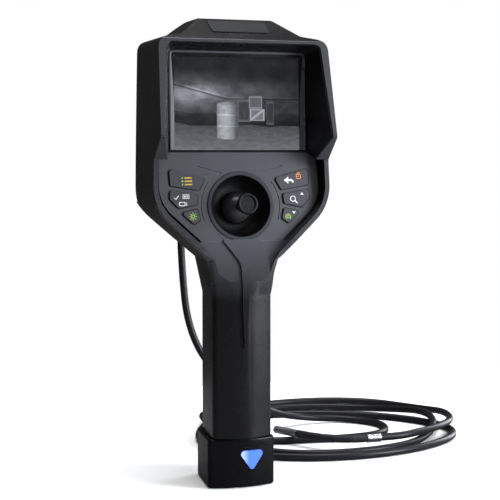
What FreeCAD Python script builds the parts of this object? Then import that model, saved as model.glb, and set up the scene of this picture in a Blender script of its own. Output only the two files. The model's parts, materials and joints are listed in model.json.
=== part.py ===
import FreeCAD, Part
import math
import os

# Handheld video borescope. Millimetres. +X is the user's right, +Y points away from the user, +Z is up.
# The origin is the middle of the base's underside. The screen and the keys face -Y.

V = FreeCAD.Vector

# ---- Driving dimensions ----
WALL = 2.6                  # thickness of the housing shells
SPLIT_Y = 15.0              # parting line between the front and the rear shell
RIM_WIDTH = 3.2             # width of the raised rim around the face
RIM_DEPTH = 2.0             # thickness of the rim trim
GAP = 0.35                  # clearance between pieces that move past each other

GRIP_BOTTOM = 36.9
GRIP_TOP = 139.5
BASE_TOP = 36.0
SEAL = 0.6                  # seal between the base and the grip
BASE_EDGE = 2.0

PANEL_TILT = 8.26           # the key panel leans back by this many degrees
PANEL_Z = 203.0             # height of the middle of the joystick
PANEL_Y = -21.6             # depth of the key panel's face at PANEL_Z
PANEL_INSET = 6.0           # from the head's outline to the key panel's edge
PANEL_THICK = 3.0
FACE_THICK = 5.0            # key panel and shell together
PANEL_TOP = 241.5
PANEL_LOW = 178.0

SCREEN_TILT = 2.1
SCREEN_Z = 238.0            # lower edge of the screen's frame
SCREEN_Y = -16.5
FRAME_HALF = 51.3           # half width of the screen's frame
FRAME_HEIGHT = 75.5
GLASS_HALF = 47.3
GLASS_LOW = 5.0
GLASS_HIGH = 71.5
GLASS_RECESS = 0.8
GLASS_THICK = 2.0

DISH_R = 22.2               # mouth of the bowl around the joystick
DISH_DEPTH = 13.0
DISH_LIP = 3.0
DOME_R = 11.5
STICK_REACH = 16.7          # top of the thumb cap above the key panel
CAP_R = 7.6

BUTTON_X = 6.0                # the release button stands off the middle of the base
BUTTON_PROUD = 1.0
BUTTON_OUTLINE = [(BUTTON_X - 10.9, 27.0, 2.6), (BUTTON_X + 10.9, 27.0, 2.6), (BUTTON_X, 12.0, 2.0)]
THUMB_GROOVE = [(-8.0, 31.2, 0.3), (5.0, 28.9, 14.0), (18.0, 31.2, 0.3), (5.0, 32.6, 30.0)]
GROOVE_DEPTH = 1.2

KEY_PROUD = 1.2
KEY_FLANGE = 1.2

CORD_R = 3.0                # insertion tube, 6 mm across
BOOT_END = 80.0             # where the tube leaves its strain relief
OUTLET_Z = 224.0

LINK_PITCH = 12.0           # bending section: distance from joint to joint
LINK_R = 3.2
LINK_GAP = 1.0              # half of the gap at each joint
TIP_Z = 10.0                # height of the bending section's centre line
COLLAR_LENGTH = 12.0
HEAD_LENGTH = 25.0
LINK_HEADINGS = [172.0, 156.0, 140.0, 127.0, 119.0]    # directions in the floor plane at rest, degrees
HEAD_HEADING = 117.0

# Half of the head's outline from the front: (x, z, corner radius)
HEAD_HALF = [
    (28.0, 336.5, 4.0), (44.0, 324.0, 4.0), (62.5, 321.0, 9.0),
    (66.3, 203.5, 33.0), (22.5, 163.0, 27.0), (22.5, 138.0, 0.0),
]
# The head from the side: (y, z, corner radius)
HEAD_FRONT_LINE = [
    (-7.0, 336.5, 2.0), (-30.5, 320.0, 2.0), (-45.2, 252.0, 2.0), (-27.0, 236.0, 3.0),
    (-28.5, 205.0, 40.0), (-32.4, 178.0, 40.0), (-32.4, 138.0, 0.0),
]
HEAD_BACK_LINE = [
    (24.2, 138.0, 0.0), (24.2, 165.0, 20.0), (34.0, 205.0, 20.0), (36.0, 300.0, 30.0), (30.0, 336.5, 16.0),
]
HEAD_PLAN = [(-67.0, -60.0, 0.0), (67.0, -60.0, 0.0), (67.0, 36.0, 18.0), (-67.0, 36.0, 18.0)]
GRIP_PLAN = [(-22.5, -26.0, 5.0), (0.0, -34.0, 30.0), (22.5, -26.0, 5.0), (17.0, 24.0, 12.0), (-17.0, 24.0, 12.0)]
BASE_PLAN = [(-25.5, -24.0, 4.0), (0.0, -31.0, 60.0), (25.5, -24.0, 4.0), (20.0, 27.0, 12.0), (-20.0, 27.0, 12.0)]
# The head narrows into the grip: the two sections above GRIP_PLAN
NECK_PLAN = [(-26.5, -30.0, 5.0), (0.0, -40.0, 30.0), (26.5, -30.0, 5.0), (23.0, 25.0, 12.0), (-23.0, 25.0, 12.0)]
CHIN_PLAN = [(-71.0, -50.0, 5.0), (0.0, -90.0, 30.0), (71.0, -50.0, 5.0), (70.0, 36.0, 18.0), (-70.0, 36.0, 18.0)]

# The left keys, seen from the front: (x, z, corner radius). The right keys mirror them.
KEY_SHAPES = {
    "upper": [(-52.1, 229.4, 2.0), (-26.7, 222.7, 1.5), (-31.2, 214.5, 1.5), (-51.7, 217.8, 1.5)],
    "middle": [(-52.0, 214.2, 1.5), (-32.4, 211.3, 1.5), (-33.0, 204.5, 1.5), (-46.2, 202.1, 1.5), (-52.3, 208.2, 1.5)],
    "lower": [(-44.6, 198.6, 1.5), (-32.8, 200.9, 1.5), (-30.9, 193.9, 1.5), (-35.6, 190.6, 1.5)],
}

# Route of the insertion tube from its strain relief to the collar of the bending section.
CORD_ROUTE = [
    (0, 80, 224), (0, 116, 220), (0, 137, 181), (1, 134, 139), (4, 131, 102), (16, 130, 72), (38, 133, 48),
    (64, 141, 28), (92, 156, 13), (126, 168, 5), (162, 162, 3), (184, 132, 3), (170, 96, 3), (133, 88, 3),
    (98, 94, 3), (64, 97, 3), (38, 118, 3), (30, 150, 3), (42, 182, 3), (72, 200, 3), (108, 202, 3),
    (142, 195, 3), (174, 180, 3), (202, 158, 3), (222, 130, 3), (232, 98, 3), (220, 68, 3), (190, 44, 3),
    (154, 30, 3), (116, 25, 3), (80, 30, 3), (48, 44, 3), (22, 68, 3), (10, 100, 3), (14, 136, 3),
    (30, 172, 3), (54, 206, 3), (88, 226, 3), (126, 230, 3), (164, 222, 3), (196, 203, 3), (216, 174, 3),
    (224, 142, 15), (222, 112, 15), (208, 84, 3), (180, 56, 3), (146, 42, 3), (110, 38, 3), (76, 44, 3),
    (50, 62, 3), (33, 90, 3), (26, 120, 3), (28, 148, 15), (31, 182, 15), (46, 214, 3), (74, 238, 3),
    (110, 250, 3), (148, 254, 3), (186, 248, 3), (218, 228, 3), (237, 198, 3), (243, 164, 3), (242, 130, 15),
    (233, 97, 15), (207, 72, 15), (180, 58, 15), (162, 52, 10), (144, 52, 10),
]


# ---- Outlines ----
def front(y):
    return lambda a, b: V(a, y, b)


def side(x):
    return lambda a, b: V(x, a, b)


def plan(z):
    return lambda a, b: V(a, b, z)


def rounded_wire(corners, place):
    """A closed wire through (a, b, radius) corners, with an arc at each corner that has a radius."""
    count = len(corners)
    stops = []
    for index, (a, b, radius) in enumerate(corners):
        here = V(a, b, 0)
        before = V(*corners[index - 1][:2], 0) - here
        after = V(*corners[(index + 1) % count][:2], 0) - here
        if radius == 0:
            stops.append((here, None, here))
            continue
        before.normalize()
        after.normalize()
        half = before.getAngle(after) / 2
        reach = radius / math.tan(half)
        middle = (before + after).normalize() * (radius / math.sin(half) - radius)
        stops.append((here + before * reach, here + middle, here + after * reach))
    edges = []
    for index, (start, middle, end) in enumerate(stops):
        following = stops[(index + 1) % count][0]
        if middle is not None:
            arc = Part.Arc(place(start.x, start.y), place(middle.x, middle.y), place(end.x, end.y))
            edges.append(arc.toShape())
        if end.distanceToPoint(following) > 1e-4:
            edges.append(Part.makeLine(place(end.x, end.y), place(following.x, following.y)))
    return Part.Wire(edges)


def prism(corners, place, direction, inset=0.0):
    """The outline, drawn in by inset, pushed along direction."""
    face = Part.Face(rounded_wire(corners, place))
    if inset:
        face = face.makeOffset2D(-inset)
    return face.extrude(direction)


def offset_wire(corners, height, inset):
    face = Part.Face(rounded_wire(corners, plan(height)))
    if inset:
        face = face.makeOffset2D(-inset)
    return face.OuterWire


def mirrored(half):
    """A half outline listed from top to bottom, closed by its mirror image."""
    return half + [(-x, z, radius) for x, z, radius in reversed(half)]


def box(low, high):
    size = V(*high) - V(*low)
    return Part.makeBox(size.x, size.y, size.z, V(*low))


def cylinder(radius, start, end):
    axis = V(*end) - V(*start)
    return Part.makeCylinder(radius, axis.Length, V(*start), axis)


def revolved(points):
    """A solid of revolution about the local Z axis from (radius, height) points."""
    wire = Part.makePolygon([V(r, 0, h) for r, h in points + points[:1]])
    return Part.Face(wire).revolve(V(0, 0, 0), V(0, 0, 1), 360)


def merged(shapes):
    return shapes[0].multiFuse(shapes[1:]).removeSplitter()


def tilted(shape, origin, tilt):
    """Stands a shape that is modelled face up onto a face that leans back by tilt degrees."""
    moved = shape.copy()
    moved.Placement = FreeCAD.Placement(V(*origin), FreeCAD.Rotation(V(1, 0, 0), 90 - tilt))
    return moved


def on_panel(shape):
    return tilted(shape, (0, PANEL_Y, PANEL_Z), PANEL_TILT)


def on_screen(shape):
    return tilted(shape, (0, SCREEN_Y, SCREEN_Z), SCREEN_TILT)


# ---- Housing ----
def head_block(inset=0.0):
    outline = prism(mirrored(HEAD_HALF), front(-70), V(0, 140, 0), inset)
    profile = prism(HEAD_FRONT_LINE + HEAD_BACK_LINE, side(-80), V(160, 0, 0), inset)
    footprint = prism(HEAD_PLAN, plan(205), V(0, 0, 300), inset)
    sections = [(CHIN_PLAN, 205), (NECK_PLAN, 165), (GRIP_PLAN, 139)]
    neck = Part.makeLoft([offset_wire(corners, height, inset) for corners, height in sections], True, True)
    return outline.common(profile).common(footprint.fuse(neck))


def grip_block(inset=0.0):
    return prism(GRIP_PLAN, plan(GRIP_BOTTOM), V(0, 0, GRIP_TOP - GRIP_BOTTOM), inset)


def panel_line(depth=0.0):
    """The key panel's face from the side, with its blend into the grip, moved back by depth."""
    lean = math.tan(math.radians(PANEL_TILT))
    top = (PANEL_Y + (PANEL_TOP - PANEL_Z) * lean + depth, PANEL_TOP, 0)
    low = (PANEL_Y - (PANEL_Z - 176) * lean + depth, 176, 0)
    return [top, low, (-32 + depth, 150, 0)]


def panel_slab(top):
    """The key panel from the side, from its low end up to the height top."""
    lean = math.tan(math.radians(PANEL_TILT))
    faces = [(PANEL_Y + (z - PANEL_Z) * lean, z) for z in (top, PANEL_LOW)]
    return [(y, z, 0) for y, z in faces] + [(y + PANEL_THICK, z, 0) for y, z in reversed(faces)]


def screen_cut():
    """The space inside the hood: it widens from the screen's frame to the front rim."""
    back = [(-FRAME_HALF, 236, 4), (FRAME_HALF, 236, 4), (FRAME_HALF, 313.7, 4), (-FRAME_HALF, 313.7, 4)]
    mouth = [(-67.3, 225, 5), (67.3, 225, 5), (67.3, 327, 5), (-67.3, 327, 5)]
    tunnel = Part.makeLoft([rounded_wire(back, front(-15)), rounded_wire(mouth, front(-60))], True, True)
    lean = math.tan(math.radians(SCREEN_TILT))
    behind = [(-80, 200, 0), (SCREEN_Y, 200, 0), (SCREEN_Y, SCREEN_Z, 0), (SCREEN_Y + 90 * lean, 328, 0), (-80, 328, 0)]
    return tunnel.common(prism(behind, side(-80), V(160, 0, 0)))


def panel_cut():
    """The shallow recess that holds the key panel, inside the raised rim."""
    outline = prism(mirrored(HEAD_HALF), front(-70), V(0, 140, 0), RIM_WIDTH)
    profile = panel_line() + [(-60, 140, 0), (-60, 222, 0)]
    recess = outline.common(prism(profile, side(-80), V(160, 0, 0)))
    channel = outline.common(prism(panel_slab(239), side(-80), V(160, 0, 0)))
    return recess.fuse(channel).removeSplitter()


def inner_space():
    """The hollow of the housing."""
    lean = math.tan(math.radians(SCREEN_TILT))
    front_line = [(SCREEN_Y + FACE_THICK + 100 * lean, SCREEN_Z + 100, 0)] + panel_line(FACE_THICK)
    limit = front_line + [(-32 + WALL, 130, 0), (-32 + WALL, 0, 0), (60, 0, 0), (60, 338, 0)]
    hollow = head_block(WALL).fuse(prism(GRIP_PLAN, plan(20), V(0, 0, GRIP_TOP - 20), WALL))
    neck_passage = box((-15, -25.5, GRIP_TOP - 5), (15, 15.5, GRIP_TOP + 12))
    hollow = hollow.fuse(neck_passage).removeSplitter()
    return hollow.common(prism(limit, side(-80), V(160, 0, 0)))


def rim_band():
    """The front 2 mm of the hood and of the face's raised edge."""
    line = [(-30.5, 320.5, 0), (-45.2, 252, 0), (-27, 236, 0), (-28.5, 205, 0), (-31.3, 183, 0), (-32, 172, 0)]
    ahead = [(y - 3, z, 0) for y, z, _ in line]
    back = [(y + RIM_DEPTH, z, 0) for y, z, _ in reversed(line)]
    return prism(ahead + back, side(-80), V(160, 0, 0))


def key_panel_block():
    outline = prism(mirrored(HEAD_HALF), front(-70), V(0, 140, 0), PANEL_INSET)
    return outline.common(prism(panel_slab(PANEL_TOP), side(-80), V(160, 0, 0)))


def to_panel(corners):
    """Corners given as heights above the base, as places on the leaning panel."""
    stretch = 1 / math.cos(math.radians(PANEL_TILT))
    return [(x, (z - PANEL_Z) * stretch, radius) for x, z, radius in corners]


def key_outline(row, right):
    corners = to_panel(KEY_SHAPES[row])
    if right:
        corners = [(-x, up, radius) for x, up, radius in reversed(corners)]
    return corners


def key_window(row, right):
    return on_panel(prism(key_outline(row, right), plan(-20), V(0, 0, 40), -GAP))


def key(row, right):
    corners = key_outline(row, right)
    cap = prism(corners, plan(-FACE_THICK - 1), V(0, 0, FACE_THICK + 1 + KEY_PROUD))
    flange = prism(corners, plan(-FACE_THICK - GAP - 1.2), V(0, 0, 1.2), -KEY_FLANGE)
    return on_panel(cap.fuse(flange).removeSplitter())


def panel_grooves():
    """Two arcs beside the bowl and a line that sweeps up to the rim, on both sides."""
    pieces = []
    for turn in (0, 180):
        arc = revolved([(29.1, -0.6), (29.9, -0.6), (29.9, 1), (29.1, 1)])
        wedge = prism([(0, 0, 0), (60, -22, 0), (60, 45, 0)], plan(-1), V(0, 0, 3))
        cut = arc.common(wedge)
        sweep = prism([(13.5, 23.3, 0), (32.3, 28.6, 0), (32.3, 29.5, 0), (13.5, 24.2, 0)], plan(-0.6), V(0, 0, 2))
        both = cut.fuse(sweep)
        if turn:
            both = both.mirror(V(0, 0, 0), V(1, 0, 0))
        pieces.append(on_panel(both))
    return merged(pieces)


def grip_ridge():
    """The raised rib down the front of the grip. It flares into the panel at its top."""
    flare = [(15.5, 179.5, 1), (12, 175.5, 12), (2.8, 163, 10), (2.2, 128, 0), (0.9, 100, 0)]
    outline = prism(mirrored(flare), front(-60), V(0, 60, 0))
    line = [(-25.6, 182, 0), (-27.2, 176, 8), (-33.8, 149, 30), (-33.8, 104, 0), (-31, 98, 0), (-26, 98, 0), (-22, 182, 0)]
    return outline.common(prism(line, side(-30), V(60, 0, 0)))


PORT_LOW = (61.8, -12.0, 267.0)
PORT_HIGH = (64.8, 9.4, 293.0)
PORT_HINGE = (66.2, 11.3)
PORT_PIN_R = 0.7


def port_lugs():
    x, y = PORT_HINGE
    lugs = [box((61, y - 1.4, z), (x + 1.4, y + 1.4, z + 4)) for z in (261, 295)]
    pin = cylinder(PORT_PIN_R, (x, y, 250), (x, y, 310))
    return merged(lugs).cut(pin)


SCREW_PLACES = [(-50, 300), (50, 300), (-52, 222), (52, 222), (0, 172), (0, 62)]
SCREW_R = 2.6


def screw_pockets():
    pockets = [cylinder(SCREW_R + 0.3, (x, 21, z), (x, 60, z)) for x, z in SCREW_PLACES]
    return pockets


def housing():
    """The two shells, the rim and the key panel, cut from one block so that they meet exactly."""
    outer = head_block().fuse(grip_block()).removeSplitter()
    faced = outer.cut(screen_cut()).cut(panel_cut()).fuse(grip_ridge())
    hollow = inner_space()
    walls = faced.cut(hollow)
    ahead = box((-80, -80, 0), (80, SPLIT_Y, 400))
    front_shell = walls.common(ahead)
    rear_shell = walls.cut(ahead)
    rim_zone = rim_band().cut(grip_ridge())
    rim = front_shell.common(rim_zone)
    front_shell = front_shell.cut(rim_zone)
    panel = key_panel_block()
    front_shell = front_shell.cut(panel)
    bowl_hole = on_panel(cylinder(DISH_R + 1.4, (0, 0, -40), (0, 0, 40)))
    openings = [key_window(row, right) for row in KEY_SHAPES for right in (False, True)] + [bowl_hole]
    glass_hole = on_screen(box((-GLASS_HALF, GLASS_LOW, -20), (GLASS_HALF, GLASS_HIGH, 5)))
    port_hole = box((55, PORT_LOW[1] - GAP, PORT_LOW[2] - GAP), (80, PORT_HIGH[1] + GAP, PORT_HIGH[2] + GAP))
    x, y = PORT_HINGE
    port_lug_zone = port_lugs()
    front_shell = front_shell.cut(openings).cut(glass_hole).cut(port_hole).fuse(port_lug_zone).removeSplitter()
    front_shell = front_shell.cut(cylinder(PORT_PIN_R, (x, y, 250), (x, y, 310)))
    front_shell = front_shell.cut([screen_bezel(), screen_gasket(), joystick_dish(), port_block()])
    panel = panel.cut(openings).cut(panel_grooves()).cut(grip_ridge())
    outlet = cylinder(9.0, (0, 20, OUTLET_Z), (0, 60, OUTLET_Z))
    backing = [box((x - 4.5, SPLIT_Y, z - 4.5), (x + 4.5, 60, z + 4.5)) for x, z in SCREW_PLACES]
    rear_shell = rear_shell.fuse([part.common(outer) for part in backing]).removeSplitter()
    rear_shell = rear_shell.cut(screw_pockets()).cut(outlet).removeSplitter()
    return front_shell, rear_shell, rim, panel


def top_plate():
    """The brushed plate let into the sloping face of the crest."""
    slope = math.degrees(math.atan2(16.5, 23.5))
    plate = prism([(-20.9, -7.5, 2), (20.9, -7.5, 2), (21.9, 7.5, 2), (-21.9, 7.5, 2)], plan(-0.6), V(0, 0, 1.2))
    plate.Placement = FreeCAD.Placement(V(0, -16.2, 330.04), FreeCAD.Rotation(V(1, 0, 0), slope))
    return plate


def rear_screws():
    heads = []
    for x, z in SCREW_PLACES:
        head = cylinder(SCREW_R, (x, 21, z), (x, 23.4, z))
        socket = prism([(x + 1.3 * math.cos(math.radians(60 * k)), z + 1.3 * math.sin(math.radians(60 * k)), 0)
                        for k in range(6)], front(22), V(0, 3, 0))
        heads.append(head.cut(socket))
    return Part.makeCompound(heads)


# ---- Screen ----
def screen_rect(margin, radius=1.5):
    half = GLASS_HALF + margin
    low = GLASS_LOW - margin
    high = GLASS_HIGH + margin
    return [(-half, low, radius), (half, low, radius), (half, high, radius), (-half, high, radius)]


def screen_bezel():
    """Three bevelled bars: the key panel closes the screen's lower side."""
    outer = [(-FRAME_HALF + 0.2, GLASS_LOW, 0), (FRAME_HALF - 0.2, GLASS_LOW, 0),
             (FRAME_HALF - 0.2, FRAME_HEIGHT - 0.4, 3), (-FRAME_HALF + 0.2, FRAME_HEIGHT - 0.4, 3)]
    frame = prism(outer, plan(0), V(0, 0, 1.4))
    opening = []
    for height, margin in ((-0.01, 0.0), (1.41, 2.6)):
        half = GLASS_HALF + margin
        high = GLASS_HIGH + margin
        opening.append(rounded_wire([(-half, -10, 0), (half, -10, 0), (half, high, 2), (-half, high, 2)], plan(height)))
    return on_screen(frame.cut(Part.makeLoft(opening, True, True)))


def screen_glass():
    half = GLASS_HALF - 0.05
    return on_screen(box((-half, GLASS_LOW + 0.05, -GLASS_RECESS - GLASS_THICK), (half, GLASS_HIGH - 0.05, -GLASS_RECESS)))


def screen_gasket():
    ring = prism(screen_rect(1.2), plan(-FACE_THICK - 0.6), V(0, 0, 0.6))
    return on_screen(ring.cut(prism(screen_rect(-1.5), plan(-10), V(0, 0, 20))))


def lcd_module():
    low = -FACE_THICK - 4.6
    return on_screen(box((-GLASS_HALF - 1.2, GLASS_LOW - 1.2, low), (GLASS_HALF + 1.2, GLASS_HIGH + 1.2, low + 4)))


def lcd_bracket():
    low = -FACE_THICK - 5.8
    plate = box((-GLASS_HALF - 3, GLASS_LOW - 3, low), (GLASS_HALF + 3, GLASS_HIGH + 3, low + 1.2))
    window = box((-30, 20, low - 1), (30, 56, low + 2))
    return on_screen(plate.cut(window))


def main_board():
    low = -FACE_THICK - 11
    board = box((-44, 8, low), (44, 70, low + 1.6))
    posts = [cylinder(2.5, (x, up, low + 1.6), (x, up, low + 5.2)) for x in (-38, 38) for up in (13, 65)]
    chips = [box((-16, 26, low + 1.6), (4, 46, low + 3.6)), box((12, 30, low + 1.6), (26, 44, low + 3))]
    return on_screen(merged([board] + posts + chips))


# ---- Keys and joystick ----
def key_board():
    low = -FACE_THICK - 6
    board = prism([(-44, -14, 0), (-33, -14, 0), (-33, 27, 0), (-54, 27, 0), (-54, 5, 0)], plan(low), V(0, 0, 1.6))
    domes = []
    for row in KEY_SHAPES:
        corners = key_outline(row, False)
        x = sum(corner[0] for corner in corners) / len(corners)
        up = sum(corner[1] for corner in corners) / len(corners)
        domes.append(cylinder(2.5, (x, up, low + 1.6), (x, up, low + 2.0)))
    left = merged([board] + domes)
    return Part.makeCompound([on_panel(left), on_panel(left.mirror(V(0, 0, 0), V(1, 0, 0)))])


def joystick_dish():
    """A bowl with a flat lip that lies on the key panel and a round hole for the dome."""
    steps = 8
    hole = DOME_R + 0.4
    rim = [(DISH_R + DISH_LIP, 0), (DISH_R + DISH_LIP - 0.6, 0.8), (DISH_R, 0.8)]
    bowl = []
    for step in range(1, steps + 1):
        angle = math.pi / 2 * step / steps
        bowl.append((hole + 1.5 + (DISH_R - hole - 1.5) * math.cos(angle), -DISH_DEPTH * math.sin(angle)))
    under = [(hole, -DISH_DEPTH), (hole, -DISH_DEPTH - 1.2), (hole + 3, -DISH_DEPTH - 1.2)]
    outside = [(r + 1.2, h) for r, h in reversed(bowl[:-1])]
    return on_panel(revolved(rim + bowl + under + outside + [(DISH_R + 1.2, 0)]))


def sphere_zone(radius, lowest):
    """The part of a sphere above a height, about the joystick's pivot."""
    ball = Part.makeSphere(radius, V(0, 0, -DISH_DEPTH))
    return ball.common(box((-50, -50, lowest), (50, 50, 50)))


def joystick_dome():
    shell = sphere_zone(DOME_R, -DISH_DEPTH - 1.3).cut(Part.makeSphere(DOME_R - 1.3, V(0, 0, -DISH_DEPTH)))
    return on_panel(shell.cut(cylinder(3.2, (0, 0, -10), (0, 0, 20))))


def joystick_stem():
    upper = cylinder(3.2, (0, 0, -5), (0, 0, STICK_REACH - 4.2))
    lower = cylinder(1.8, (0, 0, -DISH_DEPTH - 18.6), (0, 0, -5))
    hub = Part.makeSphere(2.6, V(0, 0, -DISH_DEPTH))
    pins = cylinder(0.8, (0, -5.7, -DISH_DEPTH), (0, 5.7, -DISH_DEPTH))
    return on_panel(merged([upper, lower, hub, pins]))


def joystick_cap():
    low = STICK_REACH - 4.2
    profile = [(0, low), (5.4, low), (CAP_R, low + 1.6), (CAP_R, STICK_REACH - 0.6), (CAP_R - 0.6, STICK_REACH),
               (CAP_R - 1.6, STICK_REACH), (CAP_R - 2.2, STICK_REACH - 0.8), (0, STICK_REACH - 0.5)]
    return on_panel(revolved(profile))


def joystick_gimbal():
    centre = -DISH_DEPTH
    ring = revolved([(4, centre - 1.2), (6, centre - 1.2), (6, centre + 1.2), (4, centre + 1.2)])
    pins = [cylinder(0.9, (sign * 5, 0, centre), (sign * 8, 0, centre)) for sign in (-1, 1)]
    pin_holes = cylinder(0.85, (0, -10, centre), (0, 10, centre))
    return on_panel(merged([ring] + pins).cut(pin_holes))


def joystick_frame():
    floor = -DISH_DEPTH - 12.5
    plate = revolved([(8, floor), (14.4, floor), (14.4, -DISH_DEPTH - 1.2), (12.9, -DISH_DEPTH - 1.2),
                      (12.9, floor + 1.5), (8, floor + 1.5)])
    feet = [box((min(s * 6.3, s * 9), -2, floor), (max(s * 6.3, s * 9), 2, floor + 1.5)) for s in (-1, 1)]
    posts = [box((min(s * 6.4, s * 8.2), -2, floor + 1.5), (max(s * 6.4, s * 8.2), 2, -11)) for s in (-1, 1)]
    pin_holes = cylinder(0.95, (-20, 0, -DISH_DEPTH), (20, 0, -DISH_DEPTH))
    posts = [post.cut(pin_holes) for post in posts]
    return on_panel(merged([plate] + feet + posts))


def wire_plate():
    """The plate under the stick that pulls the four steering wires."""
    low = -DISH_DEPTH - 18.1
    plate = cylinder(6.4, (0, 0, low), (0, 0, low + 1.2)).cut(cylinder(1.8, (0, 0, low - 5), (0, 0, low + 5)))
    for angle in range(0, 360, 90):
        x = 5.2 * math.cos(math.radians(angle))
        up = 5.2 * math.sin(math.radians(angle))
        plate = plate.cut(cylinder(0.5, (x, up, low - 5), (x, up, low + 5)))
    return on_panel(plate)


# ---- Side ports ----
def port_block():
    block = box((52, PORT_LOW[1] - 1, 264), (58, PORT_HIGH[1] + 1, 296))
    card = box((55, -9, 284), (60, 7, 287))
    plug = cylinder(3.2, (54.5, -1, 274), (60, -1, 274))
    return block.cut([card, plug])


def port_cover():
    """A lid outside the wall, a plug that fills the hole and a barrel around the hinge pin."""
    x, y = PORT_HINGE
    lid = prism([(-14.4, 264.8, 3), (y, 264.8, 0), (y, 295.2, 0), (-14.4, 295.2, 3)], side(64.8), V(1.4, 0, 0))
    notch_z = (266, 294)
    for low, high in ((260, notch_z[0]), (notch_z[1], 300)):
        lid = lid.cut(box((60, 9.0, low), (70, 20, high)))
    plug = box(PORT_LOW, PORT_HIGH)
    barrel = cylinder(1.4, (x, y, notch_z[0]), (x, y, notch_z[1]))
    tab = box((64.8, -17.0, 276), (66.2, -14, 284))
    cover = merged([lid, plug, barrel, tab])
    return cover.cut(cylinder(PORT_PIN_R + 0.06, (x, y, 250), (x, y, 310)))


def port_hinge_pin():
    x, y = PORT_HINGE
    return cylinder(PORT_PIN_R, (x, y, 261), (x, y, 299))


# ---- Battery and base ----
def battery_cap():
    block = prism(BASE_PLAN, plan(0), V(0, 0, BASE_TOP))
    rims = [edge for edge in block.Edges if edge.BoundBox.ZLength < 0.01]
    block = block.makeFillet(BASE_EDGE, rims)
    neck = prism(GRIP_PLAN, plan(BASE_TOP - 1), V(0, 0, 8), WALL + GAP)
    within = prism(BASE_PLAN, plan(0), V(0, 0, BASE_TOP), GROOVE_DEPTH)
    groove = prism(THUMB_GROOVE, front(-40), V(0, 20, 0)).cut(within)
    pocket = prism(BUTTON_OUTLINE, front(-40), V(0, 18.6, 0), -GAP)
    return block.fuse(neck).cut([groove, pocket]).removeSplitter()


def cap_seal():
    plate = prism(BASE_PLAN, plan(BASE_TOP), V(0, 0, SEAL), 3.4)
    return plate.cut(prism(GRIP_PLAN, plan(0), V(0, 0, 100), WALL + GAP))


def release_button():
    """The rounded triangle that frees the battery cap."""
    outer = prism(BASE_PLAN, plan(0), V(0, 0, BASE_TOP), -BUTTON_PROUD)
    cap = prism(BUTTON_OUTLINE, front(-40), V(0, 16, 0)).common(outer)
    stem = cylinder(2.2, (BUTTON_X, -24.5, 21.5), (BUTTON_X, -23, 21.5))
    return cap.fuse(stem).removeSplitter()


def battery_pack():
    body = prism([(-13.5, -24, 3), (13.5, -24, 3), (13.5, 14, 6), (-13.5, 14, 6)], plan(BASE_TOP + 7), V(0, 0, 105))
    contacts = [box((x - 1.5, -12, 148), (x + 1.5, -4, 148.8)) for x in (-7, 0, 7)]
    return merged([body] + contacts)


def battery_contacts():
    """The block in the top of the grip that meets the pack's contacts."""
    block = box((-12, -18, 151), (12, 10, 156))
    wings = [box((x, -8, 151), (x + 3, 2, 160)) for x in (-12, 9)]
    return merged([block] + wings)


# ---- Insertion tube ----
def tube_gland():
    flange = cylinder(12.5, (0, 35.0, OUTLET_Z), (0, 38.5, OUTLET_Z))
    neck = cylinder(8.95, (0, 26, OUTLET_Z), (0, 35.0, OUTLET_Z))
    return flange.fuse(neck).cut(cylinder(CORD_R, (0, 20, OUTLET_Z), (0, 50, OUTLET_Z))).removeSplitter()


def strain_relief():
    """A tapering rubber boot with rings cut into it."""
    length = BOOT_END - 38.5
    boot = Part.makeCone(9.5, 4.6, length, V(0, 38.5, OUTLET_Z), V(0, 1, 0))
    boot = boot.cut(cylinder(CORD_R, (0, 30, OUTLET_Z), (0, 90, OUTLET_Z)))
    for step in range(7):
        y = 45.0 + 4.6 * step
        ring = cylinder(12, (0, y, OUTLET_Z), (0, y + 1.6, OUTLET_Z))
        radius = 9.5 - 4.9 * (y - 38.5) / length - 1.1
        boot = boot.cut(ring.cut(cylinder(radius, (0, y - 1, OUTLET_Z), (0, y + 3, OUTLET_Z))))
    return boot


def tube_along(route, radius):
    """A round tube of straight runs joined by tangent arcs. Prints its tightest bend and checks its volume."""
    points = [V(*point) for point in route]
    edges = []
    start = points[0]
    tightest = 1e9
    for before, corner, after in zip(points, points[1:], points[2:]):
        back = (before - corner).normalize()
        ahead = (after - corner).normalize()
        half_turn = (math.pi - back.getAngle(ahead)) / 2
        trim = 0.45 * min(before.distanceToPoint(corner), after.distanceToPoint(corner))
        bend = trim / math.tan(half_turn)
        tightest = min(tightest, bend)
        middle = corner + (back + ahead).normalize() * (bend / math.cos(half_turn) - bend)
        edges.append(Part.LineSegment(start, corner + back * trim).toShape())
        edges.append(Part.Arc(corner + back * trim, middle, corner + ahead * trim).toShape())
        if bend < 30.5:
            print("tight corner", corner, round(bend, 1))
        start = corner + ahead * trim
    edges.append(Part.LineSegment(start, points[-1]).toShape())
    path = Part.Wire(edges)
    profile = Part.Wire(Part.Circle(points[0], points[1] - points[0], radius).toShape())
    tube = path.makePipeShell([profile], True, False)
    print("tube: length", round(path.Length, 1), "tightest", round(tightest, 1),
          "volume ratio", round(tube.Volume / (math.pi * radius**2 * path.Length), 4), tube.isValid())
    return tube


def along(point, heading, distance):
    angle = math.radians(heading)
    return V(point.x + distance * math.cos(angle), point.y + distance * math.sin(angle), point.z)


def rod(radius, point, heading, start, end):
    return cylinder(radius, along(point, heading, start), along(point, heading, end))


def tip_joints():
    """The joints of the bending section, from the collar to the camera head."""
    here = V(CORD_ROUTE[-1][0] - COLLAR_LENGTH - LINK_GAP, CORD_ROUTE[-1][1], TIP_Z)
    joints = [here]
    for heading in LINK_HEADINGS:
        here = along(here, heading, LINK_PITCH)
        joints.append(here)
    return joints


def tube_collar():
    start = V(*CORD_ROUTE[-1])
    return rod(3.6, start, 180, 0, COLLAR_LENGTH)


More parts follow.
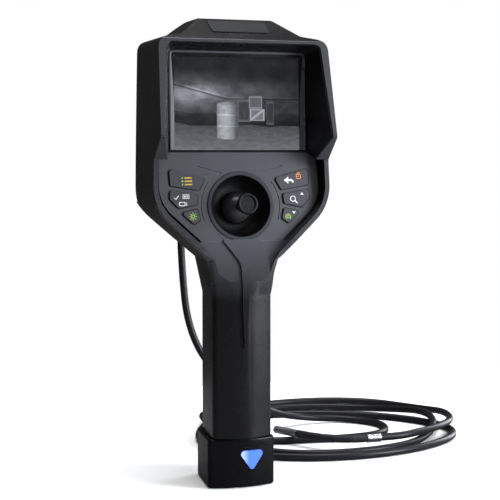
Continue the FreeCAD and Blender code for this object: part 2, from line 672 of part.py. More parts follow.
def bending_link(index):
    return rod(LINK_R, tip_joints()[index], LINK_HEADINGS[index], LINK_GAP, LINK_PITCH - LINK_GAP)


def camera_head():
    joint = tip_joints()[-1]
    barrel = rod(LINK_R, joint, HEAD_HEADING, LINK_GAP, HEAD_LENGTH)
    lens_seat = rod(1.5, joint, HEAD_HEADING, HEAD_LENGTH - 1.2, HEAD_LENGTH + 5)
    return barrel.cut([lens_seat] + lamp_rods(HEAD_LENGTH - 0.8, HEAD_LENGTH + 5))


def lamp_rods(start, end):
    joint = tip_joints()[-1]
    across = HEAD_HEADING + 90
    rods = []
    for sideways, up in ((-2.25, 0), (2.25, 0), (0, 2.25), (0, -2.25)):
        centre = along(joint, across, sideways) + V(0, 0, up)
        rods.append(rod(0.55, centre, HEAD_HEADING, start, end))
    return rods


def tip_lens():
    return rod(1.5, tip_joints()[-1], HEAD_HEADING, HEAD_LENGTH - 1.2, HEAD_LENGTH - 0.2)


def tip_lamps():
    return Part.makeCompound(lamp_rods(HEAD_LENGTH - 0.8, HEAD_LENGTH - 0.1))


def main():
    os.makedirs("parts", exist_ok=True)
    front_shell, rear_shell, rim, panel = housing()
    plate = top_plate()
    nodes = {
        "front_shell": front_shell.cut(plate),
        "rear_shell": rear_shell,
        "rim_trim": rim,
        "key_panel": panel,
        "top_plate": plate,
        "rear_screws": rear_screws(),
        "screen_bezel": screen_bezel(),
        "screen_glass": screen_glass(),
        "screen_gasket": screen_gasket(),
        "lcd_module": lcd_module(),
        "lcd_bracket": lcd_bracket(),
        "main_board": main_board(),
        "key_board": key_board(),
        "joystick_dish": joystick_dish(),
        "joystick_frame": joystick_frame(),
        "joystick_gimbal": joystick_gimbal(),
        "joystick_dome": joystick_dome(),
        "joystick_stem": joystick_stem(),
        "joystick_cap": joystick_cap(),
        "wire_plate": wire_plate(),
        "port_block": port_block(),
        "port_cover": port_cover(),
        "port_hinge_pin": port_hinge_pin(),
        "battery_cap": battery_cap(),
        "cap_seal": cap_seal(),
        "release_button": release_button(),
        "battery_pack": battery_pack(),
        "battery_contacts": battery_contacts(),
        "tube_gland": tube_gland(),
        "strain_relief": strain_relief(),
        "insertion_tube": tube_along(CORD_ROUTE, CORD_R),
        "tube_collar": tube_collar(),
        "camera_head": camera_head(),
        "tip_lens": tip_lens(),
        "tip_lamps": tip_lamps(),
    }
    names = {"upper": ("key_menu", "key_back"), "middle": ("key_ok", "key_zoom"), "lower": ("key_lamp", "key_mode")}
    for row, (left, right) in names.items():
        nodes[left] = key(row, False)
        nodes[right] = key(row, True)
    for index in range(len(LINK_HEADINGS)):
        nodes[f"bending_link_{index + 1}"] = bending_link(index)
    for name, shape in nodes.items():
        solids = len(shape.Solids)
        print(f"{name:18s} solids {solids} volume {shape.Volume:10.1f} valid {shape.isValid()}")
        shape.exportStep(f"parts/{name}.step")


main()
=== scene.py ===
"""Handheld video borescope: camera, light, cord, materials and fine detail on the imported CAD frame.

Everything is in metres, in the frame's own axes: +Z up along the grip, -Y towards the user, +X to the right.
"""

import json
import math

import bmesh
import bpy
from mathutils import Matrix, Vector, geometry, noise

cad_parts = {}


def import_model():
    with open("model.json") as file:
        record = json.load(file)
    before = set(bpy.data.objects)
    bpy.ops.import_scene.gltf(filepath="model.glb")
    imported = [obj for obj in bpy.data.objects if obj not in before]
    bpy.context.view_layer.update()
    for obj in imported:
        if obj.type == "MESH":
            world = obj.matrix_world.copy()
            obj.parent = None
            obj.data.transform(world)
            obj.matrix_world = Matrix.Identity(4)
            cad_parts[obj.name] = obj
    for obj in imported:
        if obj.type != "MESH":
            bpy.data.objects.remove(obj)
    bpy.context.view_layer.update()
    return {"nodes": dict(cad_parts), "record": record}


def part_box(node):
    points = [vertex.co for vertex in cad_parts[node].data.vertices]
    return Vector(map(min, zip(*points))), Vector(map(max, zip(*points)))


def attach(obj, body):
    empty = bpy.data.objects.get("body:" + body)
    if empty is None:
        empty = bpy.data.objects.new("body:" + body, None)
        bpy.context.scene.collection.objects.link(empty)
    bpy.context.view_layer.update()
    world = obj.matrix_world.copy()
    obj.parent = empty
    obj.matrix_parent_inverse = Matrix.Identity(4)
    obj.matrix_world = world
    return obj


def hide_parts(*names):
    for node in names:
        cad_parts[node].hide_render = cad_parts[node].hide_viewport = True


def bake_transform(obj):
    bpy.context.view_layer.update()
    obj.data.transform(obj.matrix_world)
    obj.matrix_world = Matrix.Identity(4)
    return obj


# ---- Driving dimensions ----
MM = 0.001

CAMERA_PLACE = Vector((-0.3018, -0.9234, 0.243))
CAMERA_HEADING = math.radians(18.9)      # turned from +Y towards +X
CAMERA_DIP = math.atan(100 / 1330)       # below the horizon
CAMERA_LENS = 95.76

PANEL_ORIGIN = Vector((0, -0.0216, 0.203))
PANEL_TILT = math.radians(8.26)
SCREEN_ORIGIN = Vector((0, -0.0165, 0.238))
SCREEN_TILT = math.radians(2.1)

KEY_PROUD = 1.2 * MM
ICON_RAISE = 0.06 * MM
KEY_NODES = ["key_menu", "key_ok", "key_lamp", "key_back", "key_zoom", "key_mode"]
LINK_NODES = [f"bending_link_{k}" for k in range(1, 6)]
SEAM_RAISE = 0.12 * MM
SEAM_INNER = 0.25 * MM                   # clear of the key, which moves
SEAM_OUTER = 1.2 * MM

CAP_R = 7.6 * MM
CAP_TOP = 16.7 * MM                      # above the key panel
CAP_UNDER = 12.5 * MM
CAP_RIM = 2.3 * MM                       # width of the raised edge
CAP_DISH = 1.0 * MM

GLASS_HALF = 47.3 * MM
GLASS_LOW = 5.0 * MM
GLASS_HIGH = 71.5 * MM
GLASS_BACK = -2.9 * MM                   # behind the bezel's front

PANEL_GREY = (0.031, 0.032, 0.038)
NECK_GREY_PAINTED_PALER = (0.060, 0.062, 0.070)        # painted paler than the panel's grey to make up for the shade on the steeper neck, so that the two look the same

CORD_DIAMETER = 6 * MM
CORD_ROUTE = [
    (0, 0.080, 0.224), (0, 0.116, 0.220), (0, 0.137, 0.181), (0.001, 0.134, 0.139), (0.004, 0.131, 0.102),
    (0.016, 0.130, 0.072), (0.038, 0.133, 0.048), (0.064, 0.141, 0.028), (0.092, 0.156, 0.013),
    (0.126, 0.168, 0.005), (0.162, 0.162, 0.003), (0.184, 0.132, 0.003), (0.170, 0.096, 0.003),
    (0.133, 0.088, 0.003), (0.098, 0.094, 0.003), (0.064, 0.097, 0.003), (0.038, 0.118, 0.003),
    (0.030, 0.150, 0.003), (0.042, 0.182, 0.003), (0.072, 0.200, 0.003), (0.108, 0.202, 0.003),
    (0.142, 0.195, 0.003), (0.174, 0.180, 0.003), (0.202, 0.158, 0.003), (0.222, 0.130, 0.003),
    (0.232, 0.098, 0.003), (0.220, 0.068, 0.003), (0.190, 0.044, 0.003), (0.154, 0.030, 0.003),
    (0.116, 0.025, 0.003), (0.080, 0.030, 0.003), (0.048, 0.044, 0.003), (0.022, 0.068, 0.003),
    (0.010, 0.100, 0.003), (0.014, 0.136, 0.003), (0.030, 0.172, 0.003), (0.054, 0.206, 0.003),
    (0.088, 0.226, 0.003), (0.126, 0.230, 0.003), (0.164, 0.222, 0.003), (0.196, 0.203, 0.003),
    (0.216, 0.174, 0.006), (0.224, 0.142, 0.0105), (0.222, 0.112, 0.0105), (0.208, 0.084, 0.006),
    (0.180, 0.056, 0.003), (0.146, 0.042, 0.003), (0.110, 0.038, 0.003), (0.076, 0.044, 0.003),
    (0.050, 0.062, 0.003), (0.033, 0.090, 0.003), (0.026, 0.120, 0.006), (0.028, 0.148, 0.0105),
    (0.031, 0.182, 0.0105), (0.046, 0.214, 0.005), (0.074, 0.238, 0.003), (0.110, 0.250, 0.003),
    (0.148, 0.254, 0.003), (0.186, 0.248, 0.003), (0.218, 0.228, 0.003), (0.237, 0.198, 0.003),
    (0.243, 0.164, 0.006), (0.242, 0.130, 0.0105), (0.233, 0.097, 0.0105), (0.207, 0.072, 0.0105),
    (0.180, 0.058, 0.0105), (0.162, 0.052, 0.010), (0.144, 0.052, 0.010),
]

TIP_Z = 10 * MM
TIP_JOINTS = [(131.0, 52.0), (119.1, 53.7), (108.2, 58.6), (99.0, 66.3), (91.7, 75.8), (85.9, 86.3)]
SLEEVE_R = 2.95 * MM
SLEEVE_REACH = 2.6 * MM                  # each side of a tip joint


# ---- Places on the two leaning faces ----
def leaning(origin, tilt):
    """A function that takes (sideways, up the face, out of it) to a point in the row frame."""
    up = Vector((0, math.sin(tilt), math.cos(tilt)))
    out = Vector((0, -math.cos(tilt), math.sin(tilt)))
    return lambda x, s, o: origin + Vector((x, 0, 0)) + up * s + out * o


on_panel = leaning(PANEL_ORIGIN, PANEL_TILT)
on_screen = leaning(SCREEN_ORIGIN, SCREEN_TILT)


# ---- Meshes ----
def new_mesh(name, verts, faces, smooth=True):
    mesh = bpy.data.meshes.new(name)
    mesh.from_pydata([tuple(v) for v in verts], [], faces)
    mesh.validate()
    mesh.update()
    if smooth:
        mesh.shade_smooth()
    obj = bpy.data.objects.new(name, mesh)
    bpy.context.scene.collection.objects.link(obj)
    return obj


def turn_outwards(obj):
    """Makes all face normals point out of a closed mesh."""
    work = bmesh.new()
    work.from_mesh(obj.data)
    bmesh.ops.recalc_face_normals(work, faces=work.faces)
    work.to_mesh(obj.data)
    work.free()


def ring_faces(rings, count):
    """Quads between rings of count points each, closed round."""
    faces = []
    for r in range(rings - 1):
        for i in range(count):
            after = (i + 1) % count
            faces.append((r * count + i, r * count + after, (r + 1) * count + after, (r + 1) * count + i))
    return faces


def stroke(points, width):
    """A flat band of one width along a line of points."""
    half = width / 2
    left, right = [], []
    for k, point in enumerate(points):
        before = Vector(points[max(k - 1, 0)])
        after = Vector(points[min(k + 1, len(points) - 1)])
        way = (after - before).normalized()
        side = Vector((-way.y, way.x)) * half
        left.append(Vector(point) + side)
        right.append(Vector(point) - side)
    return [tuple(p) for p in left + right[::-1]]


def arc_points(centre, radius, start, end, steps=24):
    angles = [math.radians(start + (end - start) * k / steps) for k in range(steps + 1)]
    return [(centre[0] + radius * math.cos(a), centre[1] + radius * math.sin(a)) for a in angles]


def flat_icon(name, outlines, key, material, shift=(0, 0)):
    """Thin printed shapes on a key: outlines in millimetres from the key's centre, as (x, up the panel)."""
    middle_x, middle_s = key_centre(key)
    middle_x += shift[0] * MM
    middle_s += shift[1] * MM
    work = bmesh.new()
    for outline in outlines:
        corners = [work.verts.new(on_panel(middle_x + x * MM, middle_s + s * MM, KEY_PROUD - 0.02 * MM))
                   for x, s in outline]
        face = work.faces.new(corners)
        raised = bmesh.ops.extrude_face_region(work, geom=[face])["geom"]
        lift = on_panel(0, 0, ICON_RAISE) - on_panel(0, 0, 0)
        bmesh.ops.translate(work, verts=[v for v in raised if isinstance(v, bmesh.types.BMVert)], vec=lift)
    bmesh.ops.triangulate(work, faces=work.faces)
    bmesh.ops.recalc_face_normals(work, faces=work.faces)
    mesh = bpy.data.meshes.new(name)
    work.to_mesh(mesh)
    work.free()
    mesh.materials.append(material)
    obj = bpy.data.objects.new(name, mesh)
    bpy.context.scene.collection.objects.link(obj)
    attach(obj, key)


# ---- Materials ----
def new_material(name, colour, roughness, metallic=0.0, specular=0.5, coat=0.0, coat_roughness=0.1):
    material = bpy.data.materials.new(name)
    material.use_nodes = True
    shader = material.node_tree.nodes["Principled BSDF"]
    shader.inputs["Base Color"].default_value = (*colour, 1)
    shader.inputs["Roughness"].default_value = roughness
    shader.inputs["Metallic"].default_value = metallic
    shader.inputs["Specular IOR Level"].default_value = specular
    shader.inputs["Coat Weight"].default_value = coat
    shader.inputs["Coat Roughness"].default_value = coat_roughness
    return material


def shader_of(material):
    return material.node_tree.nodes["Principled BSDF"]


def add(material, kind, **values):
    """A new node with some of its inputs or settings given by name."""
    node = material.node_tree.nodes.new(kind)
    for name, value in values.items():
        socket = node.inputs.get(name.replace("_", " "))
        if socket is not None:
            socket.default_value = value
        else:
            setattr(node, name, value)
    return node


def join(material, source, target):
    material.node_tree.links.new(source, target)


def coordinates(material, stretch=(1, 1, 1), kind="Object"):
    texture = add(material, "ShaderNodeTexCoord")
    mapping = add(material, "ShaderNodeMapping", Scale=stretch)
    join(material, texture.outputs[kind], mapping.inputs["Vector"])
    return mapping.outputs["Vector"]


def noise_of(material, vector, scale, detail=3.0, roughness=0.55):
    texture = add(material, "ShaderNodeTexNoise", Scale=scale, Detail=detail, Roughness=roughness)
    join(material, vector, texture.inputs["Vector"])
    return texture.outputs["Fac"]


def spread(material, value, low, high, start=0.3, end=0.7):
    """Maps a value between start and end to the range low to high."""
    node = add(material, "ShaderNodeMapRange")
    node.inputs["From Min"].default_value = start
    node.inputs["From Max"].default_value = end
    node.inputs["To Min"].default_value = low
    node.inputs["To Max"].default_value = high
    join(material, value, node.inputs["Value"])
    return node.outputs["Result"]


def bump(material, value, distance):
    """Bumps of this height in metres."""
    node = add(material, "ShaderNodeBump", Distance=distance, Strength=1.0)
    join(material, value, node.inputs["Height"])
    join(material, node.outputs["Normal"], shader_of(material).inputs["Normal"])


def edge_mask(material, radius):
    """0 on flat faces, rising towards 1 on edges of about this radius."""
    edge = add(material, "ShaderNodeBevel", samples=4, Radius=radius)
    flat = add(material, "ShaderNodeNewGeometry")
    same = add(material, "ShaderNodeVectorMath", operation="DOT_PRODUCT")
    join(material, edge.outputs["Normal"], same.inputs[0])
    join(material, flat.outputs["Normal"], same.inputs[1])
    return spread(material, same.outputs["Value"], 1.0, 0.0, 0.80, 0.995)


def uneven_gloss(material, value, low, high):
    """Roughness that wanders between two levels."""
    join(material, spread(material, value, low, high), shader_of(material).inputs["Roughness"])


# Sockets of the Mix node when it mixes colours. They share their names with those for numbers.
MIX_A = 6
MIX_B = 7
MIX_RESULT = 2


def tint(material, mask, colour, other):
    """Mixes the base colour between two tones."""
    mix = add(material, "ShaderNodeMix", data_type="RGBA")
    join(material, mask, mix.inputs["Factor"])
    mix.inputs[MIX_A].default_value = (*colour, 1)
    mix.inputs[MIX_B].default_value = (*other, 1)
    join(material, mix.outputs[MIX_RESULT], shader_of(material).inputs["Base Color"])


def product(material, first, second):
    node = add(material, "ShaderNodeMath", operation="MULTIPLY")
    join(material, first, node.inputs[0])
    join(material, second, node.inputs[1])
    return node.outputs["Value"]


def moulded(name, colour, worn, roughness, grain=0.35, depth=0.012, specular=0.5, edge=0.6, coat=0.0):
    """Injection-moulded plastic: spark-eroded grain, slight unevenness of gloss, paler rubbed edges."""
    material = new_material(name, colour, roughness, specular=specular, coat=coat, coat_roughness=0.3)
    place = coordinates(material)
    fine = noise_of(material, place, 1 / (grain * MM), 2.0)
    broad = noise_of(material, place, 28.0, 4.0)
    rubbed = product(material, edge_mask(material, edge * MM), spread(material, broad, 0.15, 1.0, 0.35, 0.65))
    tint(material, rubbed, colour, worn)
    uneven_gloss(material, broad, roughness - 0.05, roughness + 0.06)
    bump(material, fine, depth * MM)
    return material


def over_tint(material, mask, colour):
    """Lays another tone over the base colour where the mask is 1."""
    target = shader_of(material).inputs["Base Color"]
    mix = add(material, "ShaderNodeMix", data_type="RGBA")
    join(material, target.links[0].from_socket, mix.inputs[MIX_A])
    mix.inputs[MIX_B].default_value = (*colour, 1)
    join(material, mask, mix.inputs["Factor"])
    join(material, mix.outputs[MIX_RESULT], target)


def housing_plastic():
    """Black shell whose neck takes on the key panel's grey, because the two meet there in one surface. The
    neck's grey is painted paler than the panel's, as painted light against the shade on its steeper face.
    """
    material = moulded("housing_plastic", (0.005, 0.005, 0.006), (0.022, 0.022, 0.025), 0.27, specular=0.25)
    parts = add(material, "ShaderNodeSeparateXYZ")
    join(material, coordinates(material), parts.inputs["Vector"])
    high = spread(material, parts.outputs["Z"], 0.0, 1.0, 0.135, 0.186)
    below_head = spread(material, parts.outputs["Z"], 1.0, 0.0, 0.203, 0.206)
    front = spread(material, parts.outputs["Y"], 1.0, 0.0, -0.0225, -0.0205)
    # Painted light: the neck's grey is paler than the panel's to make up for the shade on its steeper face.
    over_tint(material, product(material, product(material, high, below_head), front), NECK_GREY_PAINTED_PALER)
    return material


def base_plastic():
    return moulded("base_plastic", (0.0035, 0.0035, 0.0041), (0.018, 0.018, 0.020), 0.28, specular=0.10)


def rim_plastic():
    return moulded("rim_plastic", (0.024, 0.025, 0.028), (0.065, 0.065, 0.071), 0.32, depth=0.008,
                   specular=0.4)


def panel_plastic():
    return moulded("panel_plastic", PANEL_GREY, (0.12, 0.122, 0.135), 0.42, depth=0.008)


def bezel_plastic():
    return moulded("bezel_plastic", (0.048, 0.049, 0.055), (0.07, 0.07, 0.076), 0.30, depth=0.004)


def bowl_plastic():
    """Dull black inside the bowl, and the key panel's grey on the lip that lies on the panel."""
    material = moulded("bowl_plastic", (0.004, 0.004, 0.0048), (0.02, 0.02, 0.022), 0.46, depth=0.003,
                       specular=0.14)
    height = add(material, "ShaderNodeVectorMath", operation="DOT_PRODUCT")
    join(material, coordinates(material), height.inputs[0])
    out = Vector((0, -math.cos(PANEL_TILT), math.sin(PANEL_TILT)))
    height.inputs[1].default_value = out
    level = out.dot(PANEL_ORIGIN)
    lip = spread(material, height.outputs["Value"], 0.0, 1.0, level - 0.5 * MM, level + 0.1 * MM)
    over_tint(material, lip, PANEL_GREY)
    return material


def inner_plastic():
    return moulded("inner_plastic", (0.015, 0.015, 0.017), (0.03, 0.03, 0.033), 0.5)


def battery_wrap():
    return moulded("battery_wrap", (0.03, 0.033, 0.036), (0.06, 0.064, 0.07), 0.3, depth=0.004, coat=0.3)


def rubber(name, colour, roughness=0.62, dust=0.03):
    """Soft rubber: fine pores and a trace of dust."""
    material = new_material(name, colour, roughness, specular=0.35)
    place = coordinates(material)
    pores = noise_of(material, place, 4200.0, 2.0)
    broad = noise_of(material, place, 60.0, 5.0)
    paler = tuple(c + dust for c in colour)
    tint(material, spread(material, broad, 0.0, 0.55, 0.48, 0.75), colour, paler)
    uneven_gloss(material, broad, roughness - 0.06, roughness + 0.08)
    bump(material, pores, 0.01 * MM)
    return material


def key_rubber():
    """Silicone keys with a soft, slightly purple grey face."""
    return moulded("key_silicone", (0.019, 0.019, 0.026), (0.11, 0.108, 0.13), 0.46, grain=0.25, depth=0.006,
                   edge=0.35)


def joystick_plastic():
    return moulded("joystick_plastic", (0.019, 0.019, 0.021), (0.035, 0.035, 0.038), 0.30, depth=0.003)


def cap_rubber():
    return moulded("cap_rubber", (0.0035, 0.0035, 0.0045), (0.02, 0.02, 0.022), 0.5, grain=0.2, depth=0.012,
                   specular=0.18, edge=0.3)


def turned_metal(name, colour, roughness, axis, depth=0.004):
    """Metal with fine turning or brushing marks: axis stretches the marks."""
    material = new_material(name, colour, roughness, metallic=1.0)
    marks = noise_of(material, coordinates(material, axis), 1.0, 3.0, 0.7)
    broad = noise_of(material, coordinates(material), 90.0, 3.0)
    darker = tuple(c * 0.72 for c in colour)
    tint(material, spread(material, marks, 0.0, 1.0, 0.35, 0.7), colour, darker)
    uneven_gloss(material, broad, roughness - 0.06, roughness + 0.1)
    bump(material, marks, depth * MM)
    return material


def brushed_plate():
    """Dark brushed metal with long streaks sideways."""
    return turned_metal("brushed_plate", (0.034, 0.035, 0.037), 0.42, (60, 3800, 3800), 0.006)


def circuit_green():
    """Solder mask over tracks."""
    material = new_material("circuit_green", (0.012, 0.10, 0.045), 0.3, coat=0.5)
    bricks = add(material, "ShaderNodeTexBrick", Scale=160.0)
    join(material, coordinates(material), bricks.inputs["Vector"])
    tint(material, bricks.outputs["Fac"], (0.010, 0.085, 0.038), (0.03, 0.20, 0.09))
    bump(material, bricks.outputs["Fac"], 0.02 * MM)
    return material


def blue_button():
    """Glossy blue resin with a painted reflection that turns paler towards its left edge, and a faint painted
    glow though it holds no lamp.
    """
    material = new_material("blue_button", (0.07, 0.20, 0.80), 0.16, coat=0.6, coat_roughness=0.08)
    shader = shader_of(material)
    parts = add(material, "ShaderNodeSeparateXYZ")
    join(material, coordinates(material), parts.inputs["Vector"])
    # Painted reflection: the resin is tinted paler towards its left edge.
    left = spread(material, parts.outputs["X"], 1.0, 0.0, -1.5 * MM, 3.5 * MM)
    tint(material, left, (0.060, 0.165, 0.72), (0.42, 0.52, 0.92))
    # Painted glow: a faint emission, though the button holds no lamp.
    shader.inputs["Emission Color"].default_value = (0.09, 0.21, 0.85, 1)
    shader.inputs["Emission Strength"].default_value = 0.2
    bump(material, noise_of(material, coordinates(material), 1500.0), 0.003 * MM)
    return material


def clear_glass(name, colour):
    """Coated glass with faint wiping marks in its gloss."""
    material = new_material(name, colour, 0.05, specular=0.25)
    shader = shader_of(material)
    shader.inputs["Transmission Weight"].default_value = 1.0
    shader.inputs["IOR"].default_value = 1.45
    wiped = noise_of(material, coordinates(material, (60, 60, 260)), 1.0, 4.0)
    join(material, spread(material, wiped, 0.0, 0.05, 0.4, 0.8), shader.inputs["Roughness"])
    return material


def lamp_lens():
    material = clear_glass("lamp_lens", (0.95, 0.95, 0.88))
    shader_of(material).inputs["Emission Color"].default_value = (1.0, 0.97, 0.85, 1)
    shader_of(material).inputs["Emission Strength"].default_value = 0.25
    return material


def camera_lens():
    material = new_material("camera_lens", (0.01, 0.012, 0.03), 0.08, coat=1.0, coat_roughness=0.03)
    rings = noise_of(material, coordinates(material), 700.0, 2.0)
    tint(material, spread(material, rings, 0.0, 1.0), (0.008, 0.01, 0.03), (0.03, 0.012, 0.05))
    return material


def braid_skin(name, colour, along, around, depth, roughness, kind="UV", coat=0.0):
    """A braid of two crossed bands under a thin coat."""
    material = new_material(name, colour, roughness, specular=0.14, coat=coat, coat_roughness=0.3)
    bands = []
    for way in (1, -1):
        wave = add(material, "ShaderNodeTexWave", wave_type="BANDS", bands_direction="DIAGONAL", Scale=1.0)
        wave.inputs["Distortion"].default_value = 0.0
        join(material, coordinates(material, (along, around * way, 1), kind), wave.inputs["Vector"])
        bands.append(wave.outputs["Fac"])
    weave = product(material, *bands)
    broad = noise_of(material, coordinates(material), 45.0, 4.0)
    paler = tuple(c * 1.5 for c in colour)
    tint(material, spread(material, broad, 0.0, 0.6, 0.45, 0.75), colour, paler)
    uneven_gloss(material, broad, roughness - 0.06, roughness + 0.08)
    bump(material, weave, depth * MM)
    return material


def bending_braid():
    return braid_skin("bending_braid", (0.018, 0.018, 0.020), 900, 900, 0.06, 0.42, "Object")


def tube_skin():
    return braid_skin("tube_skin", (0.010, 0.010, 0.0115), 1400, 12, 0.015, 0.34, "UV", 0.05)


def icon_ink(name, colour, glow):
    """Backlit printing: slightly uneven ink."""
    material = new_material(name, colour, 0.5)
    shader = shader_of(material)
    uneven = noise_of(material, coordinates(material), 2200.0, 2.0)
    tint(material, spread(material, uneven, 0.0, 1.0), colour, tuple(c * 0.8 for c in colour))
    shader.inputs["Emission Color"].default_value = (*colour, 1)
    shader.inputs["Emission Strength"].default_value = glow
    return material


def picture_glow():
    """The lit picture: brightness from the mesh's own attribute, with the fine noise of a night camera."""
    material = new_material("picture_glow", (0.0, 0.0, 0.0), 0.4, specular=0.2)
    shader = shader_of(material)
    level = add(material, "ShaderNodeAttribute", attribute_name="picture")
    specks = noise_of(material, coordinates(material), 1500.0, 1.0)
    grainy = product(material, level.outputs["Fac"], spread(material, specks, 0.86, 1.14))
    mix = add(material, "ShaderNodeMix", data_type="RGBA")
    mix.inputs[MIX_A].default_value = (0.0, 0.0, 0.0, 1)
    mix.inputs[MIX_B].default_value = (0.93, 0.96, 1.04, 1)
    join(material, grainy, mix.inputs["Factor"])
    join(material, mix.outputs[MIX_RESULT], shader.inputs["Emission Color"])
    shader.inputs["Emission Strength"].default_value = 1.5
    return material


SLOT_MATERIALS = {
    "housing_black": housing_plastic,
    "base_black": base_plastic,
    "rim_grey": rim_plastic,
    "panel_grey": panel_plastic,
    "bezel_black": bezel_plastic,
    "inner_black": inner_plastic,
    "battery_dark": battery_wrap,
    "plate_silver": brushed_plate,
    "gasket": lambda: rubber("gasket_rubber", (0.012, 0.012, 0.013)),
    "boot_rubber": lambda: rubber("boot_rubber", (0.014, 0.014, 0.015)),
    "key_purple_grey": key_rubber,
    "joystick_black": joystick_plastic,
    "cap_black": cap_rubber,
    "steel": lambda: turned_metal("steel", (0.55, 0.55, 0.56), 0.3, (300, 300, 2600)),
    "brass_pin": lambda: turned_metal("brass", (0.62, 0.44, 0.16), 0.28, (2400, 300, 300)),
    "collar_silver": lambda: turned_metal("collar_silver", (0.80, 0.81, 0.83), 0.22, (3000, 300, 300), 0.002),
    "head_silver": lambda: turned_metal("head_silver", (0.66, 0.67, 0.69), 0.30, (900, 900, 300), 0.002),
    "board_green": circuit_green,
    "button_blue": blue_button,
    "screen_glass": lambda: clear_glass("screen_glass", (0.97, 0.98, 1.0)),
    "screen_picture": inner_plastic,
    "lens_glass": camera_lens,
    "lamp_glass": lamp_lens,
    "bending_black": bending_braid,
    "tube_black": tube_skin,
}

# CAD nodes that don't take the material of their slot.
NODE_MATERIALS = {"joystick_dish": bowl_plastic}

# Rounding given to the sharp edges of CAD nodes, in millimetres.
PLAIN_ROUNDING = 0.12
EDGE_ROUNDING = {
    "front_shell": 0.5, "rear_shell": 0.5, "rim_trim": 0.5, "key_panel": 0.35, "battery_cap": 0.7,
    "release_button": 0.35, "top_plate": 0.15, "screen_bezel": 0.15, "joystick_dish": 0.2, "port_cover": 0.4,
    "tube_gland": 0.3, "strain_relief": 0.2, "tube_collar": 0.15, "camera_head": 0.15,
    **{name: 0.3 for name in KEY_NODES + LINK_NODES},
}


def finish_cad_nodes(nodes, record, materials):
    """Gives each CAD node its material, welds its corners for shading and rounds its sharp edges."""
    slots = {part["node"]: part["material_slot"] for part in record["subparts"]}
    own = {name: make() for name, make in NODE_MATERIALS.items()}
    for name, obj in nodes.items():
        mesh = obj.data
        mesh.materials.clear()
        mesh.materials.append(own.get(name) or materials[slots[name]])
        custom = mesh.attributes.get("custom_normal")
        if custom is not None:
            mesh.attributes.remove(custom)
        mesh.shade_smooth()
        for mark in ("sharp_edge", "sharp_face"):
            found = mesh.attributes.get(mark)
            if found is not None:
                mesh.attributes.remove(found)
        weld = obj.modifiers.new("weld", "WELD")
        weld.merge_threshold = 1e-6
        rounding = obj.modifiers.new("rounding", "BEVEL")
        rounding.width = EDGE_ROUNDING.get(name, PLAIN_ROUNDING) * MM
        rounding.segments = 2
        rounding.limit_method = "ANGLE"
        rounding.angle_limit = math.radians(28)
        rounding.harden_normals = True


# ---- Camera, floor and light ----
def make_camera():
    data = bpy.data.cameras.new("camera")
    data.lens = CAMERA_LENS
    data.sensor_width = 36
    data.clip_end = 50
    camera = bpy.data.objects.new("camera", data)
    bpy.context.scene.collection.objects.link(camera)
    forward = Vector((math.sin(CAMERA_HEADING) * math.cos(CAMERA_DIP),
                      math.cos(CAMERA_HEADING) * math.cos(CAMERA_DIP), -math.sin(CAMERA_DIP)))
    camera.location = CAMERA_PLACE
    camera.rotation_mode = "QUATERNION"
    camera.rotation_quaternion = forward.to_track_quat("-Z", "Y")
    bpy.context.scene.camera = camera


def make_floor():
    """Pale paper. Mirror reflections see it darker, so that the black shell stays dark."""
    left, right, front, back = -0.30, 0.60, -0.60, 0.38
    floor = new_mesh("floor", [(left, front, 0), (right, front, 0), (right, back, 0), (left, back, 0)],
                     [(0, 1, 2, 3)], smooth=False)
    floor.location.z = -0.0002
    material = new_material("paper", (0.93, 0.93, 0.93), 0.9, specular=0.1)
    bump(material, noise_of(material, coordinates(material), 900.0), 0.02 * MM)
    path = add(material, "ShaderNodeLightPath")
    tint(material, path.outputs["Is Glossy Ray"], (0.93, 0.93, 0.93), (0.16, 0.16, 0.165))
    floor.data.materials.append(material)


def area_light(name, place, target, width, height, power, colour):
    data = bpy.data.lights.new(name, "AREA")
    data.shape = "RECTANGLE"
    data.size = width
    data.size_y = height
    data.energy = power
    data.color = colour
    light = bpy.data.objects.new(name, data)
    bpy.context.scene.collection.objects.link(light)
    light.location = place
    light.rotation_mode = "QUATERNION"
    light.rotation_quaternion = (Vector(target) - Vector(place)).to_track_quat("-Z", "Y")


def make_light():
    """A room that is white to the camera alone, soft light from above, two soft boxes and a front fill."""
    world = bpy.data.worlds.new("studio")
    world.use_nodes = True
    bpy.context.scene.world = world
    tree = world.node_tree
    glow = tree.nodes["Background"]
    glow.inputs["Color"].default_value = (1, 1, 1, 1)
    seen = tree.nodes.new("ShaderNodeLightPath")
    level = tree.nodes.new("ShaderNodeMapRange")
    level.inputs["To Min"].default_value = 0.06
    level.inputs["To Max"].default_value = 1.0
    tree.links.new(seen.outputs["Is Camera Ray"], level.inputs["Value"])
    tree.links.new(level.outputs["Result"], glow.inputs["Strength"])
    top = bpy.data.lights.new("overhead", "SUN")
    top.energy = 3.3
    top.angle = math.radians(45)
    overhead = bpy.data.objects.new("overhead", top)
    bpy.context.scene.collection.objects.link(overhead)
    area_light("soft_box_right", (0.84, -0.68, 0.26), (0, 0, 0.16), 0.36, 0.9, 25, (0.90, 0.94, 1.0))
    area_light("edge_box_right", (0.95, 0.42, 0.34), (0, 0, 0.24), 0.4, 0.8, 9, (0.92, 0.96, 1.0))
    area_light("front_fill", (0.42, -1.10, 0.92), (0, 0, 0.2), 0.9, 0.6, 2.1, (0.94, 0.97, 1.0))


# ---- The insertion tube ----
def make_cord(material):
    curve = bpy.data.curves.new("tube", "CURVE")
    curve.dimensions = "3D"
    spline = curve.splines.new("NURBS")
    spline.points.add(len(CORD_ROUTE) - 1)
    for point, place in zip(spline.points, CORD_ROUTE):
        point.co = (*place, 1)
    spline.order_u = 3
    spline.use_endpoint_u = True
    spline.resolution_u = 16
    curve.bevel_depth = CORD_DIAMETER / 2
    curve.bevel_resolution = 8
    curve.use_fill_caps = True
    curve.materials.append(material)
    cord = bpy.data.objects.new("tube", curve)
    bpy.context.scene.collection.objects.link(cord)
    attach(cord, "housing")
    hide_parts("insertion_tube")
    return cord


